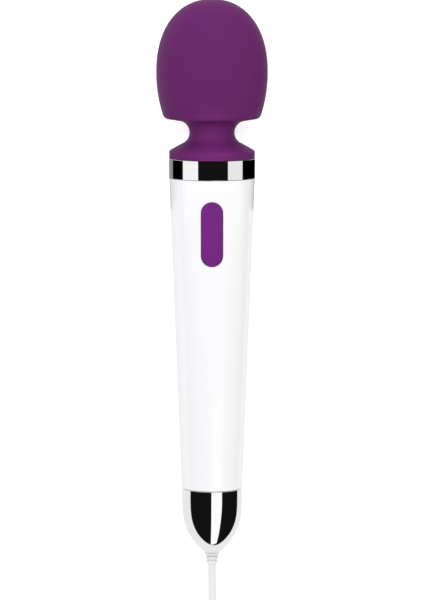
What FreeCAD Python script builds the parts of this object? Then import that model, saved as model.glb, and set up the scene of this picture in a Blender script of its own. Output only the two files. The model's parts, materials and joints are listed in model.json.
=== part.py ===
import math
import os

from FreeCAD import Placement, Rotation, Vector
import Part

os.makedirs("parts", exist_ok=True)

# Corded wand massager, in millimetres.  It lies on its back on a surface, button up.
# Each round piece is drawn in the wand's own frame: s is the distance from the top of the
# head along the axis, r is the radius, and the button side is local -Y.

# ---- driving dimensions -------------------------------------------------------------
HEAD_R = 31.1            # widest radius of the head
HEAD_MID = 40.5          # where the head is widest
HEAD_POWER = 2.2         # squareness of the dome above it
HEAD_LOW_AXIS = 50.5     # half height of the ellipse below the widest place
HEAD_CORNER = (27.4, 64.4)
HEAD_RIM = (24.2, 66.6)
HEAD_FLOOR = (17.6, 67.8)
SKIN = 3.2               # silicone over the hard head core
WAIST = (12.6, 74.5)     # thinnest place of the neck
NECK_FOOT = (16.3, 80.1)
COLLAR_SHOULDER = (23.3, 84.0)
COLLAR_R = 23.9
COLLAR_END = 88.6
RING_R = 24.0
RING_END = 99.7
HANDLE_TOP_R = 23.9
HANDLE_TAIL_R = 17.1
HANDLE_END = 274.4
WALL = 2.4
CAP_R = 16.9
CAP_STRAIGHT = 280.0     # the cap starts to round off here
CAP_LENGTH = 34.75       # length of the whole bullet shape, if it came to a point
CAP_POWER = 2.95
CAP_END = 311.6
BOOT_END = 318.5
BUTTON_MID = 129.5
BUTTON_W = 12.1
BUTTON_L = 35.8
BUTTON_GAP = 0.35
BUTTON_PROUD = 0.6
MOTOR_R = 13.85
MOTOR_START = 108.0
MOTOR_END = 146.0
CORD_R = 2.2
FIT = 0.03               # play between a pin and its bore
SEAM = 0.2               # gap between neighbouring covers
NECK_GAP = 0.3           # gap between soft pieces of different bodies

# coil of the put-away lead: a square bundle of turns, 4 by 4
TURNS_ACROSS = 4
COIL_MID_R = 24.2
COIL_HALF = TURNS_ACROSS * CORD_R
COIL_PLACE = (-17.6, -236.0)
TIE_WALL = 0.8
TIE_WIDTH = 9.0

# wall adapter
ADAPTER = (30.0, 44.0, 26.0)
ADAPTER_X = 9.5
ADAPTER_Y = -305.0
ADAPTER_TURN = -8.0      # degrees about the vertical
ADAPTER_BOOT = (4.6, 3.2, 9.0)   # radius at the case, radius at the lead, length
BLADE = (1.5, 17.0, 6.3)
BLADE_GAP = 12.7


# ---- resting pose ---------------------------------------------------------------------
def head_reach(tilt):
    """Depth of the head's lowest point below the axis origin at a given tilt."""
    across = HEAD_R * math.cos(tilt)
    along = HEAD_LOW_AXIS * math.sin(tilt)
    return HEAD_MID * math.sin(tilt) + math.hypot(along, across)


def tail_reach(tilt):
    """Depth of the handle's tail edge below the axis origin at a given tilt."""
    return HANDLE_END * math.sin(tilt) + HANDLE_TAIL_R * math.cos(tilt)


def resting_tilt():
    """Tilt at which the head and the tail edge touch the surface together."""
    low, high = 0.0, 0.2
    while high - low > 1e-7:
        middle = (low + high) / 2
        if tail_reach(middle) < head_reach(middle):
            low = middle
        else:
            high = middle
    return low


TILT = resting_tilt()
AXIS_TOP_Z = head_reach(TILT)
MIDDLE_Y = BOOT_END * math.cos(TILT) / 2
RESTING = Placement(
    Vector(0, MIDDLE_Y, AXIS_TOP_Z),
    Rotation(Vector(1, 0, 0), math.degrees(TILT) - 90),
)


def on_axis(s):
    """World point on the wand's axis at distance s from the top of the head."""
    return RESTING.multVec(Vector(0, 0, -s))


# ---- shape helpers --------------------------------------------------------------------
def at(r, s):
    return Vector(r, 0, -s)


def line(a, b):
    return Part.LineSegment(at(*a), at(*b)).toShape()


def arc(a, via, b):
    return Part.Arc(at(*a), at(*via), at(*b)).toShape()


def smooth(points, **tangents):
    spline = Part.BSplineCurve()
    spline.interpolate(Points=[at(*p) for p in points], **tangents)
    return spline.toShape()


def revolve(edges):
    """Solid of a closed outline turned about the wand's axis."""
    face = Part.Face(Part.Wire(edges))
    return face.revolve(Vector(0, 0, 0), Vector(0, 0, 1), 360)


def turned(corners):
    """Solid of a straight-sided outline of (r, s) corners turned about the axis."""
    ring = list(corners) + [corners[0]]
    return revolve([line(a, b) for a, b in zip(ring, ring[1:])])


def rod(radius, start, end):
    return Part.makeCylinder(radius, end - start, Vector(0, 0, -end))


def sleeve(inner, outer, start, end):
    return rod(outer, start, end).cut(rod(inner, start - 1, end + 1))


def across(radius, x, s, y_from, y_to):
    """Cylinder through the wand from front to back."""
    return Part.makeCylinder(radius, y_to - y_from, Vector(x, y_from, -s), Vector(0, 1, 0))


def block(x_from, x_to, y_from, y_to, s_from, s_to):
    size = (x_to - x_from, y_to - y_from, s_to - s_from)
    return Part.makeBox(*size, Vector(x_from, y_from, -s_to))


def pill(width, length, s_mid, y_from, y_to):
    """Stadium-shaped prism, long side along the wand."""
    radius = width / 2
    reach = (length - width) / 2
    body = block(-radius, radius, y_from, y_to, s_mid - reach, s_mid + reach)
    for s in (s_mid - reach, s_mid + reach):
        body = body.fuse(across(radius, 0, s, y_from, y_to))
    return body.removeSplitter()


FRONT = block(-60, 60, -60, 0, -10, 330)
REAR = block(-60, 60, 0, 60, -10, 330)


def save(name, shape):
    """Stand the finished piece on the surface and write it."""
    resting = shape.copy()
    resting.Placement = RESTING.multiply(resting.Placement)
    resting.exportStep(f"parts/{name}.step")


def save_in_place(name, shape):
    shape.exportStep(f"parts/{name}.step")


def joined(shapes):
    body = shapes[0]
    for shape in shapes[1:]:
        body = body.fuse(shape)
    return body.removeSplitter()


# ---- head -----------------------------------------------------------------------------
def dome(radius, top, mid, steps=10):
    """Outline from the apex to the widest place, rounder than a circle."""
    points = []
    for step in range(steps + 1):
        angle = math.pi / 2 * (1 - step / steps)
        r = radius * math.cos(angle) ** (2 / HEAD_POWER) if step else 0.0
        points.append((r, mid - (mid - top) * math.sin(angle) ** (2 / HEAD_POWER)))
    return smooth(points, InitialTangent=Vector(1, 0, 0), FinalTangent=Vector(0, 0, -1))


def flank(radius, mid, end, steps=5):
    """Outline from the widest place down to s = end, an ellipse."""
    points = []
    for step in range(steps + 1):
        s = mid + (end - mid) * step / steps
        points.append((radius * math.sqrt(1 - ((s - mid) / HEAD_LOW_AXIS) ** 2), s))
    return smooth(points, InitialTangent=Vector(0, 0, -1)), points[-1]


def head_body(inset, floor):
    """Solid head shape set in from the outer skin, flat at s = floor."""
    wall, foot = flank(HEAD_R - inset, HEAD_MID, floor)
    return revolve([
        dome(HEAD_R - inset, inset, HEAD_MID),
        wall,
        line(foot, (0, floor)),
        line((0, floor), (0, inset)),
    ])


CORE_FLOOR = 63.6
CORE_WALL = 2.6
CORE_SPIGOT_R = 12.0
CORE_SPIGOT_END = 66.6
NECK_BORE = 9.9
BEARING_R = 8.0
BEARING_W = 5.0
TOP_BEARING = 14.6
LOW_BEARING = 55.2
SHAFT_R = 2.5
WEIGHT_R = 14.0
WEIGHT_SPAN = (25.0, 47.0)
CABLE_R = 1.6
BOSS_X = 20.0
BOSS_S = (28.0, 50.0)
BOSS_R = 3.2
SCREW_R = 1.3
SCREW_HEAD_R = 2.4
SCREW_HEAD_H = 1.6

core_envelope = head_body(SKIN, CORE_FLOOR).fuse(rod(CORE_SPIGOT_R, 60, CORE_SPIGOT_END))


def make_head_skin():
    wall, corner = flank(HEAD_R, HEAD_MID, HEAD_CORNER[1])
    outer = revolve([
        dome(HEAD_R, 0, HEAD_MID),
        wall,
        arc(corner, (26.3, 66.0), HEAD_RIM),
        line(HEAD_RIM, HEAD_FLOOR),
        line(HEAD_FLOOR, (0, HEAD_FLOOR[1])),
        line((0, HEAD_FLOOR[1]), (0, 0)),
    ])
    save("head_skin", outer.cut(core_envelope).cut(rod(NECK_BORE, 60, 70)))


def make_head_core():
    """Hard shell in two halves, with a cup for each bearing and four screw posts."""
    cavity = head_body(SKIN + CORE_WALL, CORE_FLOOR - CORE_WALL)
    shell = core_envelope.cut(cavity)
    cups = rod(BEARING_R + 2.5, 4, TOP_BEARING + BEARING_W)
    cups = cups.fuse(rod(BEARING_R + 2.5, LOW_BEARING - 1.4, CORE_FLOOR))
    posts = []
    for s in BOSS_S:
        for x in (-BOSS_X, BOSS_X):
            posts.append(across(BOSS_R, x, s, -24, 24))
    solid = shell.fuse(cups.common(core_envelope)).fuse(joined(posts).common(core_envelope))
    bores = rod(BEARING_R + FIT, TOP_BEARING, TOP_BEARING + BEARING_W + 1)
    bores = bores.fuse(rod(BEARING_R + FIT, LOW_BEARING - 3, LOW_BEARING + BEARING_W))
    bores = bores.fuse(rod(NECK_BORE, LOW_BEARING + BEARING_W + 2, 70))
    bores = bores.fuse(rod(4.2, 50, 70))
    for s in BOSS_S:
        for x in (-BOSS_X, BOSS_X):
            bores = bores.fuse(across(SCREW_R + FIT, x, s, -7, 24))
            bores = bores.fuse(across(SCREW_HEAD_R + 0.2, x, s, 7, 24))
    solid = solid.cut(bores)
    save("head_core_front", solid.common(FRONT))
    save("head_core_rear", solid.common(REAR))


def make_head_screws():
    screws = []
    for s in BOSS_S:
        for x in (-BOSS_X, BOSS_X):
            shank = across(SCREW_R, x, s, -6.5, 7)
            screws.append(shank.fuse(across(SCREW_HEAD_R, x, s, 7, 7 + SCREW_HEAD_H)))
    save("head_screws", Part.makeCompound(screws))


def make_bearings():
    for name, start in (("head_bearing_top", TOP_BEARING), ("head_bearing_low", LOW_BEARING)):
        end = start + BEARING_W
        outer = sleeve(BEARING_R - 1.6, BEARING_R, start, end)
        inner = sleeve(SHAFT_R + FIT, SHAFT_R + 1.7, start, end)
        shield = sleeve(SHAFT_R + 1.7, BEARING_R - 1.6, start + 0.5, end - 0.5)
        save(name, joined([outer, inner, shield]))
    save("bearing_retainer", sleeve(5.4, BEARING_R, LOW_BEARING - 1.2, LOW_BEARING))


def make_eccentric():
    """Off-centre weight on its shaft, with a socket for the drive cable below."""
    shaft = rod(SHAFT_R, TOP_BEARING + 0.3, 61.4).fuse(rod(3.4, 61.4, 69.0))
    save("eccentric_shaft", shaft.cut(rod(CABLE_R + FIT, 63.0, 70.0)))
    half_disc = rod(WEIGHT_R, *WEIGHT_SPAN).common(block(0, 20, -20, 20, 0, 80))
    weight = half_disc.fuse(rod(5.0, WEIGHT_SPAN[0] - 1, WEIGHT_SPAN[1] + 1))
    save("eccentric_weight", weight.cut(rod(SHAFT_R + FIT, 0, 80)))


# ---- neck -----------------------------------------------------------------------------
SLEEVE_R = (7.2, 9.6)
SLEEVE_SPAN = (66.9, 85.6)
SLEEVE_FOLDS = 7
CLAMP_PLATE = 86.0


def make_neck():
    """Soft neck skin over a corrugated spring sleeve."""
    top = HEAD_FLOOR[1] + NECK_GAP
    foot = (NECK_FOOT[0] - 0.6, NECK_FOOT[1] - NECK_GAP)
    skin = revolve([
        arc((HEAD_FLOOR[0] - 1.2, top), (13.8, 70.4), WAIST),
        arc(WAIST, (13.35, 77.4), foot),
        line(foot, (NECK_BORE, foot[1])),
        line((NECK_BORE, foot[1]), (NECK_BORE, top)),
        line((NECK_BORE, top), (HEAD_FLOOR[0] - 1.2, top)),
    ])
    save("neck_skin", skin)
    inner, outer = SLEEVE_R
    start, end = SLEEVE_SPAN
    pitch = (end - start) / SLEEVE_FOLDS
    outside = []
    inside = []
    for fold in range(SLEEVE_FOLDS):
        s = start + fold * pitch
        outside += [(outer - 0.8, s), (outer, s + pitch / 2)]
        inside += [(inner, s), (inner + 0.8, s + pitch / 2)]
    corners = outside + [(outer - 0.8, end), (inner, end)] + inside[::-1]
    save("flex_sleeve", turned(corners))
    save("drive_cable", rod(CABLE_R, 63.2, 96.0))


def make_collar():
    shoulder_side = (COLLAR_R, 85.1)
    outer = revolve([
        line(NECK_FOOT, COLLAR_SHOULDER),
        arc(COLLAR_SHOULDER, (23.75, 84.45), shoulder_side),
        line(shoulder_side, (COLLAR_R, COLLAR_END)),
        line((COLLAR_R, COLLAR_END), (21.4, COLLAR_END)),
        line((21.4, COLLAR_END), (21.4, CLAMP_PLATE)),
        line((21.4, CLAMP_PLATE), (15.4, CLAMP_PLATE)),
        line((15.4, CLAMP_PLATE), (15.4, 82.2)),
        line((15.4, 82.2), (11.0, 82.2)),
        line((11.0, 82.2), (11.0, NECK_FOOT[1])),
        line((11.0, NECK_FOOT[1]), NECK_FOOT),
    ])
    save("collar_skin", outer)
    clamp = turned([
        (10.2, 82.2), (15.4, 82.2), (15.4, CLAMP_PLATE), (21.4, CLAMP_PLATE),
        (21.4, 104.0), (19.4, 104.0), (19.4, 89.0), (10.2, 89.0),
    ])
    save("neck_clamp", clamp)


def make_trim_ring():
    ring = sleeve(21.4 + FIT, RING_R, COLLAR_END + SEAM / 2, RING_END - SEAM / 2)
    rims = [e for e in ring.Edges if abs(e.Length - 2 * math.pi * RING_R) < 0.5]
    save("trim_ring", ring.makeFillet(0.4, rims))


# ---- handle ---------------------------------------------------------------------------
def handle_radius(s):
    share = (s - RING_END) / (HANDLE_END - RING_END)
    return HANDLE_TOP_R + share * (HANDLE_TAIL_R - HANDLE_TOP_R)


SPIGOT_R = 14.6
SPIGOT_BORE = 12.4
SPIGOT_END = 282.0
FRONT_MOUNT = (109.0, 114.0)
FRONT_MOUNT_R = 17.6
REAR_MOUNT = (150.2, 154.2)
REAR_MOUNT_R = 12.6
BOARD_Y = -15.4
BOARD_T = 1.0
BOARD_HALF = 7.5
BOARD_SPAN = (115.0, 168.0)
BOARD_POSTS = ((-4.5, 157.0), (4.5, 164.5))
HANDLE_SCREWS = (184.0, 248.0)
SCREW_SEAT_DEPTH = 5.0
CLAMP_SPAN = (262.0, 267.0)


def handle_screw_seat(s):
    return handle_radius(s) - SCREW_SEAT_DEPTH


def make_shells():
    """The two halves of the handle, with ribs for the motor and posts for the screws."""
    outer = turned([
        (0, RING_END), (handle_radius(RING_END), RING_END),
        (HANDLE_TAIL_R, HANDLE_END), (SPIGOT_R, HANDLE_END),
        (SPIGOT_R, SPIGOT_END), (0, SPIGOT_END),
    ])
    cavity = turned([
        (0, RING_END), (21.4 + FIT, RING_END), (21.4 + FIT, 104.2),
        (handle_radius(104.2) - WALL, 104.2), (handle_radius(266) - WALL, 266.0),
        (SPIGOT_BORE, 269.0), (SPIGOT_BORE, SPIGOT_END), (0, SPIGOT_END),
    ])
    ribs = [
        sleeve(FRONT_MOUNT_R + FIT, 24, *FRONT_MOUNT),
        sleeve(REAR_MOUNT_R + FIT, 24, *REAR_MOUNT),
        sleeve(4.4, 24, *CLAMP_SPAN).cut(block(-8, 8, -4.4, 4.4, 250, 275)),
    ]
    posts = [across(3.4, 0, s, -24, 24) for s in HANDLE_SCREWS]
    solid = outer.cut(cavity).fuse(joined(ribs).common(outer)).fuse(joined(posts).common(outer))
    for s in HANDLE_SCREWS:
        seat = handle_screw_seat(s)
        solid = solid.cut(across(SCREW_R + FIT, 0, s, -9, seat))
        solid = solid.cut(across(SCREW_HEAD_R + 0.4, 0, s, seat, 30))
    room = block(-BOARD_HALF - 1, BOARD_HALF + 1, -18.6, -12, 108, 172)
    opening = pill(BUTTON_W + 2 * BUTTON_GAP, BUTTON_L + 2 * BUTTON_GAP, BUTTON_MID, -30, -12)
    board_posts = []
    for x, s in BOARD_POSTS:
        post = across(2.2, x, s, -22, BOARD_Y - BOARD_T).common(outer)
        board_posts.append(post.cut(across(0.9 + FIT, x, s, -18.5, 0)))
    front = solid.common(FRONT).cut(room.common(rod(19.2, 0, 300))).cut(opening)
    front = joined([front] + board_posts)
    save("front_shell", front)
    save("rear_shell", solid.common(REAR))


def make_handle_screws():
    screws = []
    for s in HANDLE_SCREWS:
        seat = handle_screw_seat(s)
        head = across(SCREW_HEAD_R, 0, s, seat, seat + SCREW_HEAD_H)
        cross = [block(-1.6, 1.6, seat + 0.8, 30, s - 0.3, s + 0.3)]
        cross.append(block(-0.3, 0.3, seat + 0.8, 30, s - 1.6, s + 1.6))
        screws.append(across(SCREW_R, 0, s, -8, seat).fuse(head).cut(joined(cross)))
    save("handle_screws", Part.makeCompound(screws))


# ---- button and switch ------------------------------------------------------------------
SWITCH_TOP = -17.5
PLUNGER_TOP = -18.4
PLUNGER_REACH = 1.0
CARRIER_TOP = -19.4


def make_button():
    """Long push button whose face follows the handle, on a carrier over a tact switch."""
    ends = (BUTTON_MID - 30, BUTTON_MID + 30)
    face = turned([
        (0, ends[0]), (handle_radius(ends[0]) + BUTTON_PROUD, ends[0]),
        (handle_radius(ends[1]) + BUTTON_PROUD, ends[1]), (0, ends[1]),
    ])
    cap = pill(BUTTON_W, BUTTON_L, BUTTON_MID, -30, CARRIER_TOP).common(face)
    rim = [e for e in cap.Edges if e.BoundBox.YMax < CARRIER_TOP - 0.5 and e.BoundBox.YMin < -21]
    outline = [e for e in rim if e.BoundBox.YLength < 3.0]
    save("button", cap.makeFillet(0.7, outline))
    plate = pill(BUTTON_W - 2.4, BUTTON_L - 2.4, BUTTON_MID, CARRIER_TOP, PLUNGER_TOP)
    save("button_carrier", plate)
    save("switch_plunger", across(1.6, 0, BUTTON_MID, PLUNGER_TOP, PLUNGER_TOP + PLUNGER_REACH))
    case = block(-3, 3, SWITCH_TOP, BOARD_Y - BOARD_T, BUTTON_MID - 3, BUTTON_MID + 3)
    save("switch_body", case.cut(across(1.6 + 0.06, 0, BUTTON_MID, -20, -15)))


def make_board():
    board = block(-BOARD_HALF, BOARD_HALF, BOARD_Y - BOARD_T, BOARD_Y, *BOARD_SPAN)
    screws = []
    for x, s in BOARD_POSTS:
        board = board.cut(across(0.9 + FIT, x, s, -20, 0))
        shank = across(0.9, x, s, -18.4, BOARD_Y)
        screws.append(shank.fuse(across(1.8, x, s, BOARD_Y, BOARD_Y + 1.1)))
    save("circuit_board", board)
    save("board_screws", Part.makeCompound(screws))
    chip = block(-2.5, 2.5, BOARD_Y, BOARD_Y + 1.5, 146.5, 149.6)
    capacitor = Part.makeCylinder(2.8, 5.0, Vector(3.6, BOARD_Y, -149.4 - 7.9), Vector(0, 1, 0))
    diode = block(-6.6, -4.0, BOARD_Y, BOARD_Y + 1.2, 161.0, 165.5)
    save("board_parts", Part.makeCompound([chip, capacitor, diode]))


# ---- motor ------------------------------------------------------------------------------
MOTOR_SHAFT_R = 1.6
ARMATURE_R = 10.3
POLES = 5


def make_motor():
    can = sleeve(MOTOR_R - 1.2, MOTOR_R, MOTOR_START, MOTOR_END)
    can = joined([can, sleeve(4.0 + FIT, MOTOR_R, MOTOR_START, MOTOR_START + 1.4)])
    save("motor_can", can)
    magnets = sleeve(ARMATURE_R + 0.4, MOTOR_R - 1.2 - FIT, 114, 140)
    magnets = magnets.cut(block(-30, 30, -4, 4, 100, 150))
    save("motor_magnets", magnets)
    bell = joined([
        rod(MOTOR_R, MOTOR_END, MOTOR_END + 3),
        rod(REAR_MOUNT_R - 3.5, MOTOR_END, MOTOR_END + 8),
    ])
    save("motor_end_bell", bell.cut(rod(4.0 + FIT, 140, 160)))
    bushings = [
        sleeve(MOTOR_SHAFT_R + 0.05, 4.0, start, start + 3)
        for start in (MOTOR_START - 1, MOTOR_END + 4)
    ]
    save("motor_bushings", Part.makeCompound(bushings))
    brushes = [
        block(4.1, 8.0, -1.5, 1.5, 141.5, 144.5),
        block(-8.0, -4.1, -1.5, 1.5, 141.5, 144.5),
    ]
    save("motor_brushes", Part.makeCompound(brushes))
    arms = [
        block(8.0, 9.4, -2.4, 2.4, 141, MOTOR_END),
        block(-9.4, -8.0, -2.4, 2.4, 141, MOTOR_END),
    ]
    save("brush_arms", Part.makeCompound(arms))
    save("motor_mount_front", sleeve(MOTOR_R, FRONT_MOUNT_R, *FRONT_MOUNT))
    save("motor_mount_rear", sleeve(REAR_MOUNT_R - 3.5, REAR_MOUNT_R, *REAR_MOUNT))


def armature_slot():
    """Narrow mouth of a slot over its wider inner part."""
    return block(-1.2, 1.2, 5.0, 12.0, 110, 142).fuse(block(-2.6, 2.6, 5.0, 8.6, 110, 142))


def make_rotor():
    stack = sleeve(MOTOR_SHAFT_R + FIT, ARMATURE_R, 116, 137)
    for pole in range(POLES):
        slot = armature_slot()
        slot.rotate(Vector(0, 0, 0), Vector(0, 0, 1), 360 / POLES * pole)
        stack = stack.cut(slot)
    save("armature", stack)
    windings = [sleeve(4.6, 8.6, 113.4, 116), sleeve(4.6, 8.6, 137, 139.4)]
    save("motor_windings", Part.makeCompound(windings))
    save("commutator", sleeve(MOTOR_SHAFT_R + FIT, 4.0, 140.4, 145.4))
    save("motor_shaft", rod(MOTOR_SHAFT_R, 98.2, MOTOR_END + 7.6))
    coupling = sleeve(MOTOR_SHAFT_R + FIT, 5.0, 91.0, 104.0)
    save("shaft_coupling", coupling)


# ---- tail -------------------------------------------------------------------------------
def cap_radius(s):
    return CAP_R * (1 - max(0.0, (s - CAP_STRAIGHT) / CAP_LENGTH) ** CAP_POWER)


BOOT_R = 3.9
BOOT_TIP_R = 2.9
BOOT_RIBS = 3
BOOT_FLANGE = (CAP_END - 9.0, CAP_END - 6.0)
INNER_LEAD_START = 260.5


def make_end_cap():
    """Bright bullet-shaped cap over the handle's spigot."""
    start = HANDLE_END + SEAM
    samples = [CAP_STRAIGHT + (CAP_END - CAP_STRAIGHT) * i / 8 for i in range(9)]
    curve = smooth([(cap_radius(s), s) for s in samples], InitialTangent=Vector(0, 0, -1))
    tip = (cap_radius(CAP_END), CAP_END)
    outer = revolve([
        line((0, start), (CAP_R, start)),
        line((CAP_R, start), (CAP_R, CAP_STRAIGHT)),
        curve,
        line(tip, (0, CAP_END)),
        line((0, CAP_END), (0, start)),
    ])
    inside = turned([
        (0, start), (SPIGOT_R + FIT, start), (SPIGOT_R + FIT, 284.0), (12.0, 294.0),
        (6.6, BOOT_FLANGE[1]), (0, BOOT_FLANGE[1]),
    ])
    save("end_cap", outer.cut(inside).cut(rod(BOOT_TIP_R + 0.4 + FIT, 300, 320)))


def make_strain_relief():
    """Tapered boot with soft ribs, held inside the cap by its flange."""
    inside, outside = BOOT_FLANGE
    corners = [(CORD_R, inside), (5.4, inside), (5.4, outside)]
    corners += [(BOOT_TIP_R + 0.4, outside), (BOOT_TIP_R + 0.4, CAP_END + 0.1)]
    pitch = (BOOT_END - CAP_END - 0.1) / BOOT_RIBS
    for rib in range(BOOT_RIBS):
        s = CAP_END + 0.1 + rib * pitch
        share = rib / (BOOT_RIBS - 1)
        radius = BOOT_R - share * (BOOT_R - BOOT_TIP_R) * 0.8
        corners += [(radius, s), (radius - 0.15, s + pitch * 0.62)]
        corners += [(radius - 0.8, s + pitch * 0.62), (radius - 0.8, s + pitch)]
    corners[-2:] = [(BOOT_TIP_R, BOOT_END)]
    corners.append((CORD_R, BOOT_END))
    save("strain_relief", turned(corners))
    save("inner_lead", rod(CORD_R - FIT, INNER_LEAD_START, BOOT_END))
    clamp_room = sleeve(CORD_R, 4.2, *CLAMP_SPAN).common(block(-9, 9, -4.2, 4.2, 250, 275))
    save("cord_clamp", clamp_room)
    wires = []
    for side in (-1, 1):
        route = [
            Vector(side * 1.0, 0, 0.1 - INNER_LEAD_START), Vector(side * 6.4, -1, -250.0),
            Vector(side * 6.8, -6, -190.0), Vector(side * 3.0, -13.2, -169.5),
        ]
        wires.append(tube(route, 0.7, share=0.3))
    save("lead_wires", Part.makeCompound(wires))


# ---- cord -------------------------------------------------------------------------------
def rounded_route(route, share=0.45):
    """Straight runs joined by tangent arcs; returns the wire, its length and its radii."""
    edges = []
    radii = []
    start = route[0]
    for before, corner, after in zip(route, route[1:], route[2:]):
        inward = (before - corner).normalize()
        outward = (after - corner).normalize()
        half_turn = (math.pi - inward.getAngle(outward)) / 2
        trim = share * min((before - corner).Length, (after - corner).Length)
        radius = trim / math.tan(half_turn)
        bisector = (inward + outward).normalize()
        middle = corner + bisector * (radius / math.cos(half_turn) - radius)
        entry = corner + inward * trim
        leave = corner + outward * trim
        edges.append(Part.LineSegment(start, entry).toShape())
        edges.append(Part.Arc(entry, middle, leave).toShape())
        radii.append(radius)
        start = leave
    edges.append(Part.LineSegment(start, route[-1]).toShape())
    wire = Part.Wire(edges)
    return wire, wire.Length, radii


def tube(route, radius, share=0.45):
    """Round bar along a rounded route."""
    wire, length, radii = rounded_route(route, share)
    direction = route[1] - route[0]
    ring = Part.Wire(Part.makeCircle(radius, route[0], direction))
    solid = wire.makePipeShell([ring], True, False)
    expected = math.pi * radius ** 2 * length
    print(f"tube r {radius}: length {length:.1f}, radii {[round(r, 1) for r in radii]}, "
          f"volume / section times length {solid.Volume / expected:.4f}")
    return solid


def make_cord():
    """Free lead: down to the surface, into a neat coil, out again to the adapter."""
    cx, cy = COIL_PLACE
    outer_turn = COIL_MID_R + COIL_HALF - CORD_R
    join_x = cx + outer_turn
    exit_point = on_axis(BOOT_END)
    lead = [
        exit_point,
        on_axis(BOOT_END + 17.0),
        Vector(0.6, -193.0, 9.2),
        Vector(3.2, -206.0, 4.8),
        Vector(8.0, -218.5, 2.5),
        Vector(join_x - 1.0, -228.2, CORD_R),
        Vector(join_x, cy, CORD_R),
    ]
    save_in_place("cord_lead", tube(lead, CORD_R))
    top = 2 * COIL_HALF - CORD_R
    boot_end = ADAPTER[1] / 2 + ADAPTER_BOOT[2]
    boot = adapter_point(0, boot_end, ADAPTER[2] / 2)
    before_boot = adapter_point(0, boot_end + 12, ADAPTER[2] / 2 + 0.2)
    tail = [
        Vector(join_x, cy, top),
        Vector(join_x + 0.6, cy - 13.0, top - 0.3),
        before_boot,
        boot,
    ]
    save_in_place("cord_tail", tube(tail, CORD_R))
    ring = Part.makeCylinder(COIL_MID_R + COIL_HALF, 2 * COIL_HALF, Vector(cx, cy, 0))
    hole = Part.makeCylinder(COIL_MID_R - COIL_HALF, 2 * COIL_HALF, Vector(cx, cy, 0))
    bundle = ring.cut(hole)
    rims = [e for e in bundle.Edges if len(e.Vertexes) == 1]
    save_in_place("cord_coil", bundle.makeFillet(CORD_R, rims))


def make_tie():
    """Hook-and-loop strap once round the bundle, on the coil's left side."""
    cx, cy = COIL_PLACE
    half = COIL_HALF + TIE_WALL
    size = (2 * half, TIE_WIDTH, 2 * COIL_HALF + TIE_WALL)
    corner = Vector(cx - COIL_MID_R - half, cy - TIE_WIDTH / 2, 0)
    outer = Part.makeBox(*size, corner)
    inset = Vector(TIE_WALL, -1, TIE_WALL)
    hole = Part.makeBox(2 * COIL_HALF, TIE_WIDTH + 2, 2 * COIL_HALF - TIE_WALL, corner + inset)
    save_in_place("cord_tie", outer.cut(hole))


# ---- wall adapter -----------------------------------------------------------------------
def adapter_point(x, y, z):
    """Point given in the adapter's own frame: y towards its lead, z up."""
    turn = Rotation(Vector(0, 0, 1), ADAPTER_TURN)
    return Vector(ADAPTER_X, ADAPTER_Y, 0) + turn.multVec(Vector(x, y, z))


def set_adapter(shape):
    turn = Rotation(Vector(0, 0, 1), ADAPTER_TURN)
    shape.Placement = Placement(Vector(ADAPTER_X, ADAPTER_Y, 0), turn).multiply(shape.Placement)
    return shape


def make_adapter():
    """Small moulded wall adapter lying on its side, blades away from the wand."""
    width, length, height = ADAPTER
    body = Part.makeBox(width, length, height, Vector(-width / 2, -length / 2, 0))
    body = body.makeFillet(3.0, body.Edges)
    save_in_place("adapter_body", set_adapter(body))
    boot = Part.makeCone(*ADAPTER_BOOT, Vector(0, length / 2, height / 2), Vector(0, 1, 0))
    save_in_place("adapter_boot", set_adapter(boot))
    thick, reach, tall = BLADE
    blades = []
    for side in (-1, 1):
        x = side * BLADE_GAP / 2 - thick / 2
        corner = Vector(x, -length / 2 - reach, height / 2 - tall / 2)
        blades.append(Part.makeBox(thick, reach, tall, corner))
    save_in_place("adapter_blades", set_adapter(Part.makeCompound(blades)))


make_head_skin()
make_head_core()
make_head_screws()
make_bearings()
make_eccentric()
make_neck()
make_collar()
make_trim_ring()
make_shells()
make_handle_screws()
make_button()
make_board()
make_motor()
make_rotor()
make_end_cap()
make_strain_relief()
make_cord()
make_tie()
make_adapter()
print(f"tilt {math.degrees(TILT):.3f} degrees, axis top z {AXIS_TOP_Z:.3f}, middle y {MIDDLE_Y:.3f}")
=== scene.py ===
import json
import math

import bmesh
import bpy
from mathutils import Matrix, Vector


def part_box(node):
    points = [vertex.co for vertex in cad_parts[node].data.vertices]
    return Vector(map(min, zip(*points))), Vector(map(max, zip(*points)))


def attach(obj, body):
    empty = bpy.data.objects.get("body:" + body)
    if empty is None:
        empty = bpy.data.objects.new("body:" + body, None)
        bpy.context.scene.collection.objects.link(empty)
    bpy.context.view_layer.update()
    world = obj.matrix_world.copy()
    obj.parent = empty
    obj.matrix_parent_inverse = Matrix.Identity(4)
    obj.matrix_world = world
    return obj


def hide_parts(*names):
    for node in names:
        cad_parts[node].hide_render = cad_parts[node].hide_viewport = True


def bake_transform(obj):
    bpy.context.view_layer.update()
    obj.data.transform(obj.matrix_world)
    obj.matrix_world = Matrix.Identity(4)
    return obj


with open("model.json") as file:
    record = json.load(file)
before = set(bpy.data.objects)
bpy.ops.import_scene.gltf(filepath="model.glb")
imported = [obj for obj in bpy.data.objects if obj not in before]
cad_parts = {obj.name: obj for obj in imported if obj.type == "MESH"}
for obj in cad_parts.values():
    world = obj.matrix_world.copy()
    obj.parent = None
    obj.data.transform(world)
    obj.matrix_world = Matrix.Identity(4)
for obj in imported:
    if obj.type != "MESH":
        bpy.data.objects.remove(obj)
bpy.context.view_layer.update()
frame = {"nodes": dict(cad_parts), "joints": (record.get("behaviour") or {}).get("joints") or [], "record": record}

MM = 0.001
TURN = 2 * math.pi
scene = bpy.context.scene

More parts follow.
